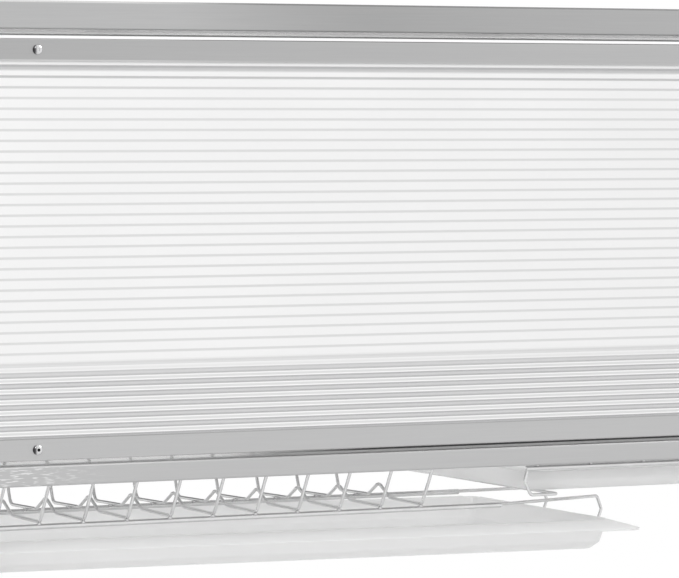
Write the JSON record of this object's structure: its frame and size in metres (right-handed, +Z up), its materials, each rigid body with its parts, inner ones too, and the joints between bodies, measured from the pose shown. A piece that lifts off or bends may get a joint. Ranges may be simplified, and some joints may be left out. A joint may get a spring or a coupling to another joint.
{
  "type": "over-sink dish rack",
  "caption": "Stainless dish cabinet on side frames that stands over a sink, with a ribbed clear flip-up door, plate and bowl racks and pull-out drip trays.",
  "frame": {"origin": "on the worktop, at the bottom centre of the part", "axes": "+X along the width to the right, +Y from the door to the back, +Z up"},
  "size_m": [0.85, 0.302, 0.7712],
  "materials": {
    "brushed_stainless": "fine brushed, satin",
    "clear_sheet": "clear twin-wall sheet, glossy",
    "polished_wire": "polished wire",
    "bright_steel": "polished",
    "rubber": "matt",
    "moulded_grey": "satin moulded",
    "tray_white": "translucent white, semi-gloss"
  },
  "bodies": {
    "frame": {"front_left_post": "brushed_stainless", "front_right_post": "brushed_stainless", "rear_left_post": "brushed_stainless", "rear_right_post": "brushed_stainless", "left_base_rail": "brushed_stainless", "right_base_rail": "brushed_stainless", "left_lower_side_rail": "brushed_stainless", "right_lower_side_rail": "brushed_stainless", "left_upper_side_rail": "brushed_stainless", "right_upper_side_rail": "brushed_stainless", "front_top_rail": "brushed_stainless", "rear_top_rail": "brushed_stainless", "front_bottom_rail": "brushed_stainless", "rear_bottom_rail": "brushed_stainless", "rear_top_strip": "brushed_stainless", "rear_bottom_strip": "brushed_stainless", "left_side_strips": "brushed_stainless", "right_side_strips": "brushed_stainless", "rear_panel_clips": "brushed_stainless", "rear_panel": "clear_sheet", "left_side_panel": "clear_sheet", "right_side_panel": "clear_sheet", "top_panel": "clear_sheet", "plate_wires": "polished_wire", "plate_rack_top_bars": "polished_wire", "plate_rack_foot_bars": "polished_wire", "left_tray_hanger": "polished_wire", "right_tray_hanger": "polished_wire", "bowl_wires": "polished_wire", "bowl_rack_bars": "polished_wire", "left_bowl_runner": "polished_wire", "right_bowl_runner": "polished_wire", "hinge_pins": "bright_steel", "rubber_feet": "rubber", "door_stops": "rubber", "door_seal": "rubber", "post_caps": "moulded_grey", "hinge_washers": "moulded_grey"},
    "door": {"door_panel": "clear_sheet", "door_top_strip": "brushed_stainless", "door_bottom_strip": "brushed_stainless", "door_left_edge": "moulded_grey", "door_right_edge": "moulded_grey", "door_pivot_blocks": "moulded_grey", "door_screws": "bright_steel"},
    "plate_tray": {"plate_drip_tray": "tray_white"},
    "bowl_tray": {"bowl_drip_tray": "tray_white"}
  },
  "joints": [
    {"name": "door_flip", "type": "hinge", "parent": "frame", "child": "door", "pos_m": [0, -0.147, 0.7367], "axis": [-1, 0, 0], "range_deg": [0, 105]},
    {"name": "plate_tray_slide", "type": "slide", "parent": "frame", "child": "plate_tray", "axis": [0, -1, 0], "range_m": [0, 0.15]},
    {"name": "bowl_tray_slide", "type": "slide", "parent": "frame", "child": "bowl_tray", "axis": [0, -1, 0], "range_m": [0, 0.2]}
  ]
}
